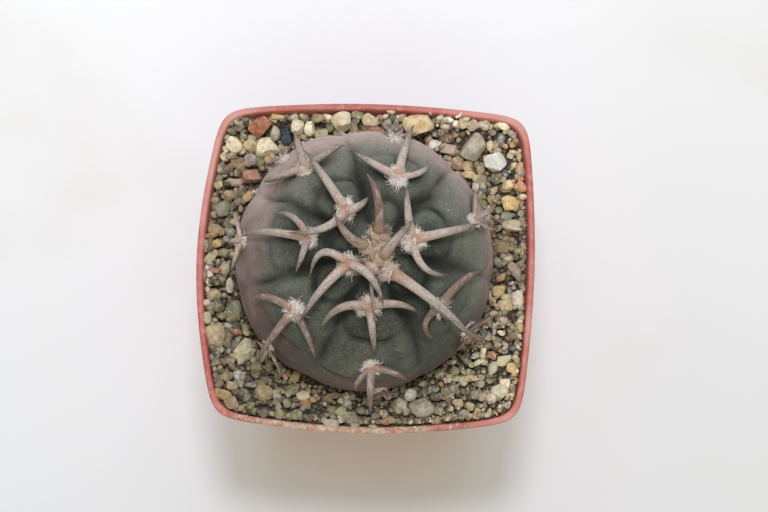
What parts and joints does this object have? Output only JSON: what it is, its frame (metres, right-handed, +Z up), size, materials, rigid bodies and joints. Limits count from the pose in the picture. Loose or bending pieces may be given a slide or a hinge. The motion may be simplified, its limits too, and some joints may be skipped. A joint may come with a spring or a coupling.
{
  "type": "potted cactus",
  "caption": "Low ribbed globular cactus with claw-like spines in a square terracotta-coloured plastic pot filled with mixed gravel.",
  "frame": {"origin": "middle of the flat underside of the pot, on the surface that it stands on", "axes": "+Z up, -Y towards the front of the pot, +X to the right"},
  "size_m": [0.0701, 0.0691, 0.0923],
  "materials": {
    "pot_plastic": "slightly dusty terracotta-pink moulded plastic",
    "gravel": "mixed buff, olive, grey and brick-red grit with fine sand",
    "cactus_skin": "matt grey-green skin, mauve-grey towards the pot, finely speckled",
    "spine": "dull pinkish beige horn, speckled, dark at the tips, white felt at the roots",
    "stone_gold": "rough golden quartz grain",
    "stone_white": "rounded white quartz grain",
    "stone_slab": "flat grey-green slaty grain",
    "stone_brick_corner": "rough brick-red grain",
    "stone_brick_side": "rough brick-red grain",
    "stone_slate": "dark slaty grain",
    "stone_cream_back": "rough cream grain",
    "stone_cream_front": "rough cream grain"
  },
  "bodies": {
    "root": {"pot": "pot_plastic", "soil": "gravel", "body": "cactus_skin", "spines_rib1_1": "spine", "spines_rib1_2": "spine", "spines_rib1_3": "spine", "spines_rib2_1": "spine", "spines_rib2_2": "spine", "spines_rib2_3": "spine", "spines_rib3_1": "spine", "spines_rib3_2": "spine", "spines_rib3_3": "spine", "spines_rib4_1": "spine", "spines_rib4_2": "spine", "spines_rib4_3": "spine", "spines_rib5_1": "spine", "spines_rib5_2": "spine", "spines_rib5_3": "spine", "spines_rib6_1": "spine", "spines_rib6_2": "spine", "spines_rib6_3": "spine", "spines_rib6_4": "spine", "spines_rib7_1": "spine", "spines_rib7_2": "spine", "spines_rib7_3": "spine", "spines_rib7_4": "spine", "stone_gold": "stone_gold", "stone_white": "stone_white", "stone_slab": "stone_slab", "stone_brick_corner": "stone_brick_corner", "stone_brick_side": "stone_brick_side", "stone_slate": "stone_slate", "stone_cream_back": "stone_cream_back", "stone_cream_front": "stone_cream_front"}
  },
  "joints": []
}
